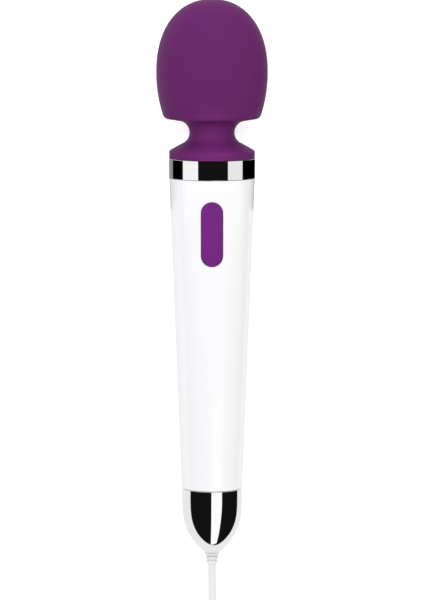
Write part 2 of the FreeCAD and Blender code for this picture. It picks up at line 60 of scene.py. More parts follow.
# ---- the wand's own axes --------------------------------------------------------------
# s is the distance in mm from the top of the head along the axis, r the radius in mm.
JOINTS = {joint["name"]: joint for joint in frame["joints"]}
AXIS = Vector(JOINTS["motor_spin"]["axis"]).normalized()
HINGE = Vector(JOINTS["neck_pitch"]["pos_m"])


def along(node):
    """Lowest and highest place of a CAD node along the axis, from the neck hinge, in metres."""
    places = [(v.co - HINGE).dot(AXIS) for v in frame["nodes"][node].data.vertices]
    return min(places), max(places)


HEAD_TOP = HINGE + AXIS * along("head_skin")[1]
SIDE = Vector((1, 0, 0))
BACK = AXIS.cross(SIDE)
WAND = Matrix((SIDE, BACK, AXIS)).transposed().to_4x4()
WAND.translation = HEAD_TOP


def on_axis(s):
    return HEAD_TOP - AXIS * (s * MM)


def span(node):
    """Start, end and largest radius of a CAD node, in mm."""
    low, high = along(node)
    top = (HEAD_TOP - HINGE).dot(AXIS)
    radius = 0.0
    for v in frame["nodes"][node].data.vertices:
        out = v.co - HINGE
        radius = max(radius, (out - AXIS * out.dot(AXIS)).length)
    return (top - high) / MM, (top - low) / MM, radius / MM


HEAD = span("head_skin")
COLLAR = span("collar_skin")
RING = span("trim_ring")
CAP = span("end_cap")
BOOT = span("strain_relief")
WAIST_S = (HEAD_TOP - HINGE).length / MM
SEAM = 0.2

# ---- camera -----------------------------------------------------------------------------
CAMERA_OVER_S = 68.0
CAMERA_HEIGHT = 2.0
VIEW_MID_S = 168.3
VIEW_LENGTH = 0.3365     # metres of wand from the top to the bottom of the view
CLIP_END = 50.0

camera = bpy.data.objects.new("camera", bpy.data.cameras.new("camera"))
scene.collection.objects.link(camera)
camera.location = on_axis(CAMERA_OVER_S) + Vector((0, 0, CAMERA_HEIGHT))
sight = on_axis(VIEW_MID_S) - camera.location
away = -sight.normalized()
upward = away.cross(SIDE).normalized()
camera.rotation_mode = "QUATERNION"
camera.rotation_quaternion = Matrix((SIDE, upward, away)).transposed().to_quaternion()
camera.data.lens = camera.data.sensor_width * sight.length / VIEW_LENGTH
camera.data.clip_end = CLIP_END
scene.camera = camera
scene.view_settings.view_transform = "Standard"

# ---- cord ---------------------------------------------------------------------------------
CORD_R = 2.2 * MM
CORD_D = 2 * CORD_R
TURNS_ACROSS = 4
TURN_POINTS = 16
STEP_POINTS = 4          # the points of each turn over which it moves one place on

COIL_LOW, COIL_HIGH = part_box("cord_coil")
COIL_X = (COIL_LOW.x + COIL_HIGH.x) / 2
COIL_Y = (COIL_LOW.y + COIL_HIGH.y) / 2
OUTER_TURN = (COIL_HIGH.x - COIL_LOW.x) / 2 - CORD_R
JOIN_X = COIL_X + OUTER_TURN
COIL_TOP = COIL_HIGH.z - CORD_R


def coil_turns():
    """Places of the turns in winding order: inwards, up, outwards, up, and so on."""
    places = []
    for layer in range(TURNS_ACROSS):
        columns = range(TURNS_ACROSS)
        if layer % 2:
            columns = reversed(columns)
        places += [(OUTER_TURN - column * CORD_D, CORD_R + layer * CORD_D) for column in columns]
    return places


def coil_points():
    """Control points of the whole coil, wound clockwise from its right side."""
    places = coil_turns()
    points = []
    for number, (radius, height) in enumerate(places):
        following = places[min(number + 1, len(places) - 1)]
        for step in range(TURN_POINTS):
            share = max(0, step - (TURN_POINTS - STEP_POINTS)) / STEP_POINTS
            r = radius + (following[0] - radius) * share
            z = height + (following[1] - height) * share
            angle = -TURN * step / TURN_POINTS
            points.append((COIL_X + r * math.cos(angle), COIL_Y + r * math.sin(angle), z))
    return points


ADAPTER_TURN = math.radians(-8.0)
ADAPTER_LOW, ADAPTER_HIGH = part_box("adapter_body")
ADAPTER_MID = (ADAPTER_LOW + ADAPTER_HIGH) / 2
ADAPTER_SIZE = Vector((30.0, 44.0, 26.0)) * MM
BOOT_REACH = 9.0 * MM
LEAD_STRAIGHT = 17.0     # mm straight out of the wand before the lead drops
TAIL_STRAIGHT = 12.0 * MM
TAIL_RISE = 0.2 * MM
ADAPTER = Matrix.Translation(ADAPTER_MID) @ Matrix.Rotation(ADAPTER_TURN, 4, "Z")


def adapter_point(y, z=0.0):
    """Point on the adapter's long axis, or z above it; y is towards the lead."""
    return ADAPTER @ Vector((0, y, z))


lead_exit = on_axis(BOOT[1])
before_boot = adapter_point(ADAPTER_SIZE.y / 2 + BOOT_REACH + TAIL_STRAIGHT, TAIL_RISE)
at_boot = adapter_point(ADAPTER_SIZE.y / 2 + BOOT_REACH)
lead_route = [
    lead_exit,
    on_axis(BOOT[1] + LEAD_STRAIGHT),
    (0.0006, -0.193, 0.0092),
    (0.0032, -0.206, 0.0048),
    (0.0080, -0.2185, 0.0025),
    (JOIN_X - 0.001, -0.2282, CORD_R),
]
tail_route = [
    (JOIN_X, COIL_Y, COIL_TOP),
    (JOIN_X + 0.0006, COIL_Y - 0.013, COIL_TOP - 0.0003),
    before_boot,
    at_boot,
]
cord_points = lead_route + coil_points() + tail_route

curve = bpy.data.curves.new("lead", "CURVE")
curve.dimensions = "3D"
line = curve.splines.new("NURBS")
line.points.add(len(cord_points) - 1)
for point, place in zip(line.points, cord_points):
    point.co = (*place, 1)
line.order_u = 3
line.use_endpoint_u = True
line.resolution_u = 6
curve.bevel_depth = CORD_R
curve.bevel_resolution = 6
curve.use_fill_caps = True
lead = bpy.data.objects.new("lead", curve)
scene.collection.objects.link(lead)


# ---- mesh helpers -------------------------------------------------------------------------
WELD = 1e-4              # mm within which two vertices become one


def place_mesh(name, bm, place):
    """Object at the origin from a bmesh in mm, set in place in its mesh."""
    mesh = bpy.data.meshes.new(name)
    bm.to_mesh(mesh)
    bm.free()
    mesh.transform(place @ Matrix.Scale(MM, 4))
    mesh.shade_smooth()
    piece = bpy.data.objects.new(name, mesh)
    scene.collection.objects.link(piece)
    return piece


def new_piece(name, bm, place=WAND, smooth_angle=40.0):
    """Piece with its faces outwards, and sharp where two of them meet at more than an angle."""
    bmesh.ops.recalc_face_normals(bm, faces=bm.faces)
    if all(e.is_manifold for e in bm.edges) and bm.calc_volume(signed=True) < 0:
        bmesh.ops.reverse_faces(bm, faces=bm.faces)
    piece = place_mesh(name, bm, place)
    piece.data.set_sharp_from_angle(angle=math.radians(smooth_angle))
    return piece


def modify(piece, kind, **settings):
    modifier = piece.modifiers.new(kind.lower(), kind)
    for key, value in settings.items():
        setattr(modifier, key, value)


def round_edges(piece, width, segments=3, angle=35.0):
    modify(
        piece, "BEVEL", width=width * MM, segments=segments, profile=0.5,
        limit_method="ANGLE", angle_limit=math.radians(angle), harden_normals=True,
    )


def loop_edges(bm, verts, closed=True):
    """Edges that join the vertices in their order."""
    pairs = list(zip(verts, verts[1:]))
    if closed:
        pairs.append((verts[-1], verts[0]))
    return [bm.edges.new(pair) for pair in pairs]


def spin_round(bm, verts, edges, centre, axis, steps):
    """Turn an outline once about an axis and close the seam."""
    bmesh.ops.spin(
        bm, geom=verts + edges, cent=centre, axis=axis, angle=TURN, steps=steps, use_merge=True
    )
    bmesh.ops.remove_doubles(bm, verts=bm.verts, dist=WELD)


def lathe(name, outline, steps=96, closed=True, **options):
    """Piece turned about the wand's axis from an outline of (r, s) points."""
    bm = bmesh.new()
    verts = [bm.verts.new((r, 0, -s)) for r, s in outline]
    spin_round(bm, verts, loop_edges(bm, verts, closed), (0, 0, 0), (0, 0, 1), steps)
    return new_piece(name, bm, **options)


def arc(start, via, end, count):
    """Points of the circle through three points, without the first."""
    (ax, ay), (bx, by), (cx, cy) = start, via, end
    twice = 2 * (ax * (by - cy) + bx * (cy - ay) + cx * (ay - by))
    a2, b2, c2 = ax * ax + ay * ay, bx * bx + by * by, cx * cx + cy * cy
    mx = (a2 * (by - cy) + b2 * (cy - ay) + c2 * (ay - by)) / twice
    my = (a2 * (cx - bx) + b2 * (ax - cx) + c2 * (bx - ax)) / twice
    radius = math.hypot(ax - mx, ay - my)
    first = math.atan2(ay - my, ax - mx)
    sweep = math.remainder(math.atan2(cy - my, cx - mx) - first, TURN)
    middle = math.remainder(math.atan2(by - my, bx - mx) - first, TURN)
    if middle * sweep < 0:
        sweep -= math.copysign(TURN, sweep)
    angles = [first + sweep * (step + 1) / count for step in range(count)]
    return [(mx + radius * math.cos(t), my + radius * math.sin(t)) for t in angles]


# ---- shader helpers -------------------------------------------------------------------------
class Value:
    """A shader socket that takes part in Python sums."""

    def __init__(self, finish, socket):
        self.finish = finish
        self.socket = socket

    def maths(self, operation, *values):
        return self.finish.add("ShaderNodeMath", {"operation": operation}, dict(enumerate(values)))

    def __add__(self, other):
        return self.maths("ADD", self, other)

    def __radd__(self, other):
        return self.maths("ADD", other, self)

    def __mul__(self, other):
        return self.maths("MULTIPLY", self, other)

    def __rmul__(self, other):
        return self.maths("MULTIPLY", other, self)

    def __pow__(self, other):
        return self.maths("POWER", self, other)

    def __rpow__(self, other):
        return self.maths("POWER", other, self)


class Finish:
    """A material with a Principled shader; constants go straight on the shader's sockets."""

    def __init__(self, name, **constants):
        self.material = bpy.data.materials.new(name)
        self.material.use_nodes = True
        self.tree = self.material.node_tree
        self.shader = self.tree.nodes["Principled BSDF"]
        for key, value in constants.items():
            self.shader.inputs[key.replace("_", " ").title().replace("Ior", "IOR")].default_value = value

    def add(self, kind, settings=None, inputs=None, output=0):
        """Add a node: its settings first, then the values or links of its sockets."""
        node = self.tree.nodes.new(kind)
        for key, value in (settings or {}).items():
            setattr(node, key, value)
        for key, value in (inputs or {}).items():
            if isinstance(value, Value):
                self.tree.links.new(value.socket, node.inputs[key])
            else:
                node.inputs[key].default_value = value
        return Value(self, node.outputs[output])

    def feed(self, name, value):
        self.tree.links.new(value.socket, self.shader.inputs[name])

    def place(self):
        """Object coordinates, in metres."""
        return self.add("ShaderNodeTexCoord", output="Object")

    def noise(self, scale, detail=3.0, roughness=0.55, stretch=None):
        where = self.place()
        if stretch:
            where = self.add("ShaderNodeMapping", inputs={"Vector": where, "Scale": stretch})
        sockets = {"Vector": where, "Scale": scale, "Detail": detail, "Roughness": roughness}
        return self.add("ShaderNodeTexNoise", inputs=sockets)

    def blend(self, low, high, amount):
        """Colour between two colours."""
        sockets = {"Factor": amount, 6: (*low, 1), 7: (*high, 1)}
        return self.add("ShaderNodeMix", {"data_type": "RGBA"}, sockets, output=2)

    def bump(self, height, strength, distance):
        sockets = {"Height": height, "Strength": strength, "Distance": distance}
        self.feed("Normal", self.add("ShaderNodeBump", inputs=sockets))


# ---- finishes -------------------------------------------------------------------------------
def silicone():
    """Satin purple silicone: an even skin with a fine moulded grain and faint cloudiness."""
    finish = Finish("purple_silicone", specular_ior_level=0.08)
    cloud = finish.noise(26.0, 2.0)
    grain = finish.noise(2600.0, 2.0)
    tone = cloud * 0.7 + grain * 0.3
    finish.feed("Base Color", finish.blend((0.110, 0.0132, 0.104), (0.127, 0.0165, 0.124), tone))
    finish.feed("Roughness", 0.47 + cloud * 0.08 + grain * 0.06)
    finish.bump(grain, 0.18, 0.00012)
    return finish.material


def chrome():
    """Bright plating over plastic: mirror smooth, with faint wiping haze."""
    finish = Finish("bright_chrome", metallic=1.0)
    haze = finish.noise(60.0, 4.0, stretch=(1.0, 0.35, 1.0))
    finish.feed("Base Color", finish.blend((0.86, 0.86, 0.87), (0.93, 0.93, 0.935), haze))
    finish.feed("Roughness", 0.015 + haze ** 3 * 0.09)
    finish.bump(finish.noise(90.0, 1.0), 0.02, 0.0001)
    return finish.material


def white_gloss():
    """Glossy white moulded handle with the slightest flow marks."""
    finish = Finish("gloss_white", specular_ior_level=0.5, coat_roughness=0.06, coat_weight=0.35)
    flow = finish.noise(18.0, 2.0, stretch=(1.0, 0.2, 1.0))
    fine = finish.noise(900.0, 2.0)
    finish.feed("Base Color", finish.blend((0.885, 0.885, 0.893), (0.915, 0.915, 0.92), flow))
    finish.feed("Roughness", 0.2 + flow * 0.07 + fine * 0.05)
    finish.bump(fine, 0.05, 0.00006)
    return finish.material


def button_gloss():
    """Brighter purple button, semi-gloss, with faint uneven wear."""
    finish = Finish("button_purple", specular_ior_level=0.25)
    wear = finish.noise(120.0, 3.0)
    fine = finish.noise(2200.0, 2.0)
    finish.feed("Base Color", finish.blend((0.148, 0.0082, 0.182), (0.170, 0.0105, 0.206), wear))
    finish.feed("Roughness", 0.3 + wear * 0.12 + fine * 0.05)
    finish.bump(fine, 0.08, 0.00008)
    return finish.material


def soft_vinyl(name, low, high):
    """Soft white vinyl of the lead and its boots."""
    finish = Finish(name, specular_ior_level=0.4)
    cloud = finish.noise(220.0, 3.0)
    fine = finish.noise(3000.0, 2.0)
    finish.feed("Base Color", finish.blend(low, high, cloud))
    finish.feed("Roughness", 0.36 + cloud * 0.12 + fine * 0.06)
    finish.bump(fine + cloud, 0.12, 0.00008)
    return finish.material


def moulded(name, low, high, rough, grain=1500.0, depth=0.0001, **constants):
    """Plain moulded or rubbery finish with a spark-eroded grain."""
    finish = Finish(name, **constants)
    pits = finish.noise(grain, 3.0)
    cloud = finish.noise(grain / 40, 2.0)
    finish.feed("Base Color", finish.blend(low, high, cloud * 0.6 + pits * 0.4))
    finish.feed("Roughness", rough + pits * 0.14)
    finish.bump(pits, 0.25, depth)
    return finish.material


def metal(name, low, high, rough, stretch=(1.0, 30.0, 30.0)):
    """Turned or drawn metal with fine tool lines."""
    finish = Finish(name, metallic=1.0)
    lines = finish.noise(500.0, 4.0, stretch=stretch)
    cloud = finish.noise(90.0, 3.0)
    finish.feed("Base Color", finish.blend(low, high, lines * 0.5 + cloud * 0.5))
    finish.feed("Roughness", rough + lines * 0.16)
    finish.bump(lines, 0.15, 0.00004)
    return finish.material


def woven_strap():
    """Black hook-and-loop strap: fine ribs along it, fuzz over them."""
    finish = Finish("woven_strap", sheen_weight=0.5, sheen_roughness=0.5, specular_ior_level=0.2)
    fuzz = finish.noise(1800.0, 4.0)
    ribs = finish.add(
        "ShaderNodeTexWave", {"wave_type": "BANDS", "bands_direction": "Y"},
        {"Vector": finish.place(), "Scale": 260.0, "Distortion": 1.2, "Detail": 2.0},
        output="Fac",
    )
    weave = ribs * 0.5 + fuzz * 0.5
    finish.feed("Base Color", finish.blend((0.010, 0.010, 0.012), (0.055, 0.055, 0.06), weave))
    finish.feed("Roughness", 0.75 + fuzz * 0.2)
    finish.bump(ribs * 0.6 + fuzz * 0.4, 0.6, 0.0003)
    return finish.material


SILICONE = silicone()
CHROME = chrome()
WHITE = white_gloss()
BUTTON = button_gloss()
LEAD = soft_vinyl("white_lead", (0.78, 0.78, 0.79), (0.85, 0.85, 0.855))
PALE_BOOT = soft_vinyl("pale_boot", (0.79, 0.79, 0.80), (0.87, 0.87, 0.88))
ADAPTER_WHITE = moulded("adapter_white", (0.80, 0.80, 0.80), (0.85, 0.85, 0.85), 0.42)
STEEL = metal("bright_steel", (0.50, 0.50, 0.51), (0.62, 0.62, 0.63), 0.16)
STRAP = woven_strap()

NODE_FINISHES = {
    "steel": STEEL,
    "brass": metal("turned_brass", (0.62, 0.45, 0.18), (0.76, 0.58, 0.27), 0.2),
    "copper": metal("copper_wire", (0.60, 0.26, 0.12), (0.76, 0.38, 0.20), 0.25, (1.0, 1.0, 60.0)),
    "black_plastic": moulded("black_plastic", (0.02, 0.02, 0.02), (0.045, 0.045, 0.045), 0.4),
    "grey_plastic": moulded("grey_plastic", (0.36, 0.36, 0.37), (0.44, 0.44, 0.45), 0.45),
    "board_green": moulded("board_green", (0.012, 0.11, 0.035), (0.02, 0.17, 0.06), 0.25),
    "magnet_grey": moulded("magnet_grey", (0.08, 0.08, 0.085), (0.14, 0.14, 0.145), 0.5),
    "mount_rubber": moulded("mount_rubber", (0.018, 0.018, 0.018), (0.035, 0.035, 0.035), 0.62),
    "white_lead": LEAD,
    "purple_silicone": SILICONE,
    "chrome": CHROME,
    "white_gloss": WHITE,
    "purple_button": BUTTON,
    "pale_boot": PALE_BOOT,
    "white_adapter": ADAPTER_WHITE,
    "tie_black": STRAP,
}
SLOTS = {part["node"]: part["material_slot"] for part in frame["record"]["subparts"]}
for node, piece in frame["nodes"].items():
    piece.data.materials.clear()
    piece.data.materials.append(NODE_FINISHES[SLOTS[node]])


def settle(piece, finish, slot, body, *nodes):
    """Give a finished piece its material, its CAD body and the nodes that it stands for."""
    piece.data.materials.clear()
    piece.data.materials.append(finish)
    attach(piece, body)
    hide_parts(*nodes)


# ---- silicone skin ----------------------------------------------------------------------------
HEAD_R = HEAD[2]
HEAD_MID = 40.5
HEAD_POWER = 2.2
HEAD_LOW_AXIS = 50.5
SKIN = 3.2
CORE_FLOOR = 63.6
HEAD_CORNER_S = 64.4
HEAD_CORNER_VIA = (26.3, 66.0)
HEAD_RIM = (24.2, 66.6)
HEAD_FLOOR = (17.6, HEAD[1])
NECK_VIA = (13.9, 70.3)
WAIST_R = 12.6
WAIST_STRAIGHT = 0.5
NECK_BORE = 9.9
NECK_TOP = 66.7
CORE_SPIGOT_R = 12.0
NECK_FOOT_VIA = (13.35, 77.4)
NECK_FOOT = (16.3, COLLAR[0])
COLLAR_SHOULDER = (23.3, 84.0)
COLLAR_VIA = (23.75, 84.45)
COLLAR_EDGE_S = 85.1
COLLAR_LINING = 21.4
COLLAR_FLOOR = 86.0
COLLAR_SEAT = (15.4, 82.2)
SKIN_STEPS = 128


def head_wall(inset, floor, dome_points=22, flank_points=9):
    """Outline of the head from the apex to s = floor, set in from its outer skin."""
    radius = HEAD_R - inset
    height = HEAD_MID - inset
    outline = []
    for step in range(dome_points + 1):
        angle = TURN / 4 * (1 - step / dome_points)
        r = radius * math.cos(angle) ** (2 / HEAD_POWER) if step else 0.0
        outline.append((r, HEAD_MID - height * math.sin(angle) ** (2 / HEAD_POWER)))
    for step in range(1, flank_points + 1):
        s = HEAD_MID + (floor - HEAD_MID) * step / flank_points
        outline.append((radius * math.sqrt(1 - ((s - HEAD_MID) / HEAD_LOW_AXIS) ** 2), s))
    return outline


def midway(a, b):
    return (a[0] + b[0]) / 2, (a[1] + b[1]) / 2


def make_head():
    """Dome and upper half of the neck, in one skin."""
    outline = head_wall(0.0, HEAD_CORNER_S)
    outline += arc(outline[-1], HEAD_CORNER_VIA, HEAD_RIM, 6)
    outline += [midway(HEAD_RIM, HEAD_FLOOR), HEAD_FLOOR]
    outline += arc(HEAD_FLOOR, NECK_VIA, (WAIST_R, WAIST_S - WAIST_STRAIGHT), 14)
    outline += [(WAIST_R, WAIST_S), (NECK_BORE, WAIST_S), (NECK_BORE, NECK_TOP)]
    outline += [(CORE_SPIGOT_R, NECK_TOP), (CORE_SPIGOT_R, CORE_FLOOR)]
    outline += head_wall(SKIN, CORE_FLOOR)[::-1]
    head = lathe("head", outline, steps=SKIN_STEPS, closed=False)
    head.data.materials.append(SILICONE)
    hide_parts("head_skin", "neck_skin")
    on_axis(WAIST_S)
    on_axis(HEAD_FLOOR[1])
    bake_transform(head)


def make_collar():
    """Lower half of the neck and the flared collar."""
    outline = [(WAIST_R, WAIST_S), (WAIST_R, WAIST_S + WAIST_STRAIGHT)]
    outline += arc(outline[-1], NECK_FOOT_VIA, NECK_FOOT, 14)
    outline += [midway(NECK_FOOT, COLLAR_SHOULDER), COLLAR_SHOULDER]
    outline += arc(COLLAR_SHOULDER, COLLAR_VIA, (COLLAR[2], COLLAR_EDGE_S), 4)
    outline += [(COLLAR[2], COLLAR[1]), (COLLAR_LINING, COLLAR[1]), (COLLAR_LINING, COLLAR_FLOOR)]
    outline += [(COLLAR_SEAT[0], COLLAR_FLOOR), COLLAR_SEAT, (NECK_BORE, COLLAR_SEAT[1])]
    outline.append((NECK_BORE, WAIST_S))
    collar = lathe("collar", outline, steps=SKIN_STEPS)
    collar.data.materials.append(SILICONE)
    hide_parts("collar_skin")
    on_axis(NECK_FOOT[1] + 1.5)
    on_axis(WAIST_S)
    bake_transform(collar)


# ---- handle ---------------------------------------------------------------------------------
HANDLE_START = RING[1] + SEAM / 2
HANDLE_END = CAP[0] - SEAM
HANDLE_TOP_R = 23.9
HANDLE_TAIL_R = 17.1
WALL = 2.4
HALF_COLUMNS = 50
HALF_ROWS = 96
OPENING_MARGIN = 4.0
OPENING_RINGS = (0.4, 0.55, 0.6, 1.0)    # how far each ring goes of the way left to the rim
HANDLE_EDGE = 0.22
SPIGOT_R = 14.6
SPIGOT_BORE = 12.4
SPIGOT_START = HANDLE_END - 3.0
SPIGOT_END = HANDLE_END + 7.0


def handle_radius(s):
    share = (s - HANDLE_START) / (HANDLE_END - HANDLE_START)
    return HANDLE_TOP_R + share * (HANDLE_TAIL_R - HANDLE_TOP_R)


def open_sheet(bm, mid_s, half_width, half_length):
    """Cut a round-ended opening in a flat sheet of (angle, s), with rings of faces up to its rim."""
    radius = handle_radius(mid_s)
    reach = half_length - half_width
    cut = set()
    for face in bm.faces:
        middle = face.calc_center_median()
        beside = abs(middle.x) * radius < half_width + OPENING_MARGIN
        if beside and abs(middle.y - mid_s) < half_length + OPENING_MARGIN:
            cut.add(face)
    ring = [e for face in cut for e in face.edges if len(cut.intersection(e.link_faces)) == 1]
    bmesh.ops.delete(bm, geom=list(cut), context="FACES")
    for share in OPENING_RINGS:
        grown = bmesh.ops.extrude_edge_only(bm, edges=ring)["geom"]
        fresh = {v for v in grown if isinstance(v, bmesh.types.BMVert)}
        ring = [e for e in grown if isinstance(e, bmesh.types.BMEdge) and fresh.issuperset(e.verts)]
        for v in fresh:
            along_s = v.co.y - mid_s
            spine = max(-reach, min(reach, along_s))
            outward = Vector((v.co.x * radius, along_s - spine)).normalized() * half_width
            rim_s = mid_s + spine + outward.y
            rim = Vector((math.asin(outward.x / handle_radius(rim_s)), rim_s, 0))
            v.co = v.co.lerp(rim, share)


def handle_half(name, front, openings):
    """Half of the handle, bent from a flat sheet and given its wall thickness."""
    bm = bmesh.new()
    bmesh.ops.create_grid(bm, x_segments=HALF_COLUMNS, y_segments=HALF_ROWS, size=0.5)
    length = HANDLE_END - HANDLE_START
    for v in bm.verts:
        v.co = (v.co.x * TURN / 2, HANDLE_START + (v.co.y + 0.5) * length, 0)
    for opening in openings:
        open_sheet(bm, *opening)
    facing = -1 if front else 1
    for v in bm.verts:
        angle, s = v.co.x, v.co.y
        radius = handle_radius(s)
        v.co = (radius * math.sin(angle), facing * radius * math.cos(angle), -s)
    bmesh.ops.remove_doubles(bm, verts=bm.verts, dist=WELD)
    bmesh.ops.recalc_face_normals(bm, faces=bm.faces)
    face = bm.faces[:][0]
    if face.normal.dot(face.calc_center_median() * Vector((1, 1, 0))) < 0:
        bmesh.ops.reverse_faces(bm, faces=bm.faces)
    piece = place_mesh(name, bm, WAND)
    modify(piece, "SOLIDIFY", thickness=WALL * MM, offset=-1.0, use_even_offset=True)
    round_edges(piece, HANDLE_EDGE, segments=2)
    return piece


BUTTON_MID = (span("button")[0] + span("button")[1]) / 2
BUTTON_SIZE = (12.1, 35.8)
BUTTON_GAP = 0.2
SCREW_S = (184.0, 248.0)
WELL_R = 2.8
WELL_DEPTH = 5.0
WELL_WALL = 0.9
WELL_FLOOR_T = 1.2
WELL_TOP_DROP = 1.0
SCREW_HOLE_R = 1.4


def make_handle():
    opening = (BUTTON_MID, BUTTON_SIZE[0] / 2 + BUTTON_GAP, BUTTON_SIZE[1] / 2 + BUTTON_GAP)
    front = handle_half("handle_front", True, [opening])
    settle(front, WHITE, "white_gloss", "handle", "front_shell")
    back = handle_half("handle_back", False, [(s, WELL_R, WELL_R) for s in SCREW_S])
    settle(back, WHITE, "white_gloss", "handle", "rear_shell")
    make_screw_wells()
    outline = [(SPIGOT_R, SPIGOT_START), (SPIGOT_R, SPIGOT_END)]
    outline += [(SPIGOT_BORE, SPIGOT_END), (SPIGOT_BORE, SPIGOT_START)]
    settle(lathe("handle_spigot", outline), WHITE, "white_gloss", "handle")


def make_screw_wells():
    """Two wells in the back half, each a tube with a drilled floor under the screw's head."""
    bm = bmesh.new()
    for s in SCREW_S:
        top = handle_radius(s) - WELL_TOP_DROP
        floor = handle_radius(s) - WELL_DEPTH
        under = floor - WELL_FLOOR_T
        outline = [(WELL_R, top), (WELL_R, floor), (SCREW_HOLE_R, floor), (SCREW_HOLE_R, under)]
        outline += [(WELL_R + WELL_WALL, under), (WELL_R + WELL_WALL, top)]
        verts = [bm.verts.new((r, depth, -s)) for r, depth in outline]
        spin_round(bm, verts, loop_edges(bm, verts), (0, 0, -s), (0, 1, 0), 32)
    settle(new_piece("screw_wells", bm), WHITE, "white_gloss", "handle")


BUTTON_PROUD = 0.6
BUTTON_FOOT = -19.4
BUTTON_EDGE = 0.95
BUTTON_SEGMENTS = 64
RIM_STEPS = 5
FACE_RINGS = 4
FACE_RING_WIDTH = 1.1


def make_button():
    """Pill-shaped button whose face follows the handle, with a soft rounded rim."""
    bm = bmesh.new()
    half = BUTTON_SIZE[0] / 2
    reach = BUTTON_SIZE[1] / 2 - half
    made = bmesh.ops.create_circle(bm, segments=BUTTON_SEGMENTS, radius=half, cap_ends=True)
    half_step = Matrix.Rotation(TURN / BUTTON_SEGMENTS / 2, 3, "Z")
    bmesh.ops.rotate(bm, verts=bm.verts, matrix=half_step)
    for v in made["verts"]:
        v.co.y += math.copysign(reach, v.co.y)
    face = bm.faces[:][0]
    grown = bmesh.ops.extrude_face_region(bm, geom=[face])
    top = [g for g in grown["geom"] if isinstance(g, bmesh.types.BMFace)]
    for v in top[0].verts:
        v.co.z = 1.0
    for step in range(RIM_STEPS):
        before = BUTTON_EDGE * (1 - math.cos(TURN / 4 * step / RIM_STEPS))
        after = BUTTON_EDGE * (1 - math.cos(TURN / 4 * (step + 1) / RIM_STEPS))
        bmesh.ops.inset_region(bm, faces=top, thickness=after - before, use_even_offset=True)
    for ring in range(FACE_RINGS):
        bmesh.ops.inset_region(bm, faces=top, thickness=FACE_RING_WIDTH, use_even_offset=True)
    for v in bm.verts:
        x, along_s, level = v.co
        s = BUTTON_MID - along_s
        inward = half - math.hypot(x, max(0.0, abs(along_s) - reach))
        round_off = max(0.0, BUTTON_EDGE - inward)
        drop = BUTTON_EDGE - math.sqrt(max(0.0, BUTTON_EDGE ** 2 - round_off ** 2))
        face_y = -math.sqrt((handle_radius(s) + BUTTON_PROUD) ** 2 - x * x) + drop
        v.co = (x, face_y if level > 0.5 else BUTTON_FOOT, -s)
    button = new_piece("push_button", bm, smooth_angle=50)
    settle(button, BUTTON, "purple_button", "button", "button")


# ---- chrome and tail --------------------------------------------------------------------------
RING_BORE = 21.5
RING_EDGE = 0.2
CHROME_STEPS = 160
CAP_R = 16.9
CAP_STRAIGHT = 280.0
CAP_LENGTH = 34.75
CAP_POWER = 2.95
CAP_POINTS = 30
CAP_EDGE = 0.25
CAP_BORE = SPIGOT_R + 0.1
CAP_BORE_END = 284.0
CAP_CAVITY = (11.4, 294.0)
FLANGE_SEAT = (6.6, CAP[1] - 6.0)
BOOT_NECK_R = 3.35


def make_trim_ring():
    start, end, radius = RING
    outline = [(radius, start), (radius, end), (RING_BORE, end), (RING_BORE, start)]
    ring = lathe("trim_ring_bright", outline, steps=CHROME_STEPS)
    round_edges(ring, RING_EDGE)
    settle(ring, CHROME, "chrome", "handle", "trim_ring")


def cap_radius(s):
    return CAP_R * (1 - max(0.0, (s - CAP_STRAIGHT) / CAP_LENGTH) ** CAP_POWER)


def make_end_cap():
    """Bullet-shaped cap, hollow from its rim to the seat of the boot."""
    start, end = CAP[:2]
    reach = (end - CAP_STRAIGHT) / CAP_POINTS
    samples = [CAP_STRAIGHT + reach * step for step in range(CAP_POINTS + 1)]
    outline = [(CAP_R - CAP_EDGE, start), (CAP_R, start + CAP_EDGE)]
    outline += [(cap_radius(s), s) for s in samples]
    outline += [(BOOT_NECK_R, end), (BOOT_NECK_R, FLANGE_SEAT[1]), FLANGE_SEAT, CAP_CAVITY]
    outline += [(CAP_BORE, CAP_BORE_END), (CAP_BORE, start)]
    cap = lathe("end_cap_bright", outline, steps=CHROME_STEPS, smooth_angle=30)
    settle(cap, CHROME, "chrome", "handle", "end_cap")


BOOT_R = 3.9
BOOT_TAPER = 0.3         # how much smaller each rib is than the one before
BOOT_RIBS = 3
BOOT_RIB_SHARE = (0.55, 0.63)
SLOT_R = 2.4
FLANGE_R = 5.4
FLANGE_DEPTHS = (9.0, 6.1)
BOOT_TIP = ((2.7, BOOT[1] - 0.3), (2.45, BOOT[1]))


def make_boot():
    """Soft tapered boot of the lead, cut by ring slots so that it can bend."""
    start, end = CAP[1] + 0.1, BOOT[1]
    bore = CORD_R / MM
    neck = BOOT_NECK_R - 0.05
    pitch = (end - start) / BOOT_RIBS
    flange_start, flange_end = (start - depth for depth in FLANGE_DEPTHS)
    outline = [(bore, flange_start), (FLANGE_R, flange_start), (FLANGE_R, flange_end)]
    outline += [(neck, flange_end), (neck, start)]
    for rib in range(BOOT_RIBS):
        s = start + rib * pitch
        radius = BOOT_R - BOOT_TAPER * rib
        wide, slot = (s + pitch * share for share in BOOT_RIB_SHARE)
        outline += [(radius - 0.2, s), (radius, s + 0.25), (radius - 0.05, wide)]
        outline += [(radius - 0.25, slot), (SLOT_R, slot), (SLOT_R, s + pitch)]
    outline[-2:] = BOOT_TIP
    outline.append((bore, end))
    boot = lathe("lead_boot", outline, steps=64, smooth_angle=35)
    settle(boot, PALE_BOOT, "pale_boot", "handle", "strain_relief")


make_head()
make_collar()
make_handle()
make_button()
make_trim_ring()
make_end_cap()
make_boot()


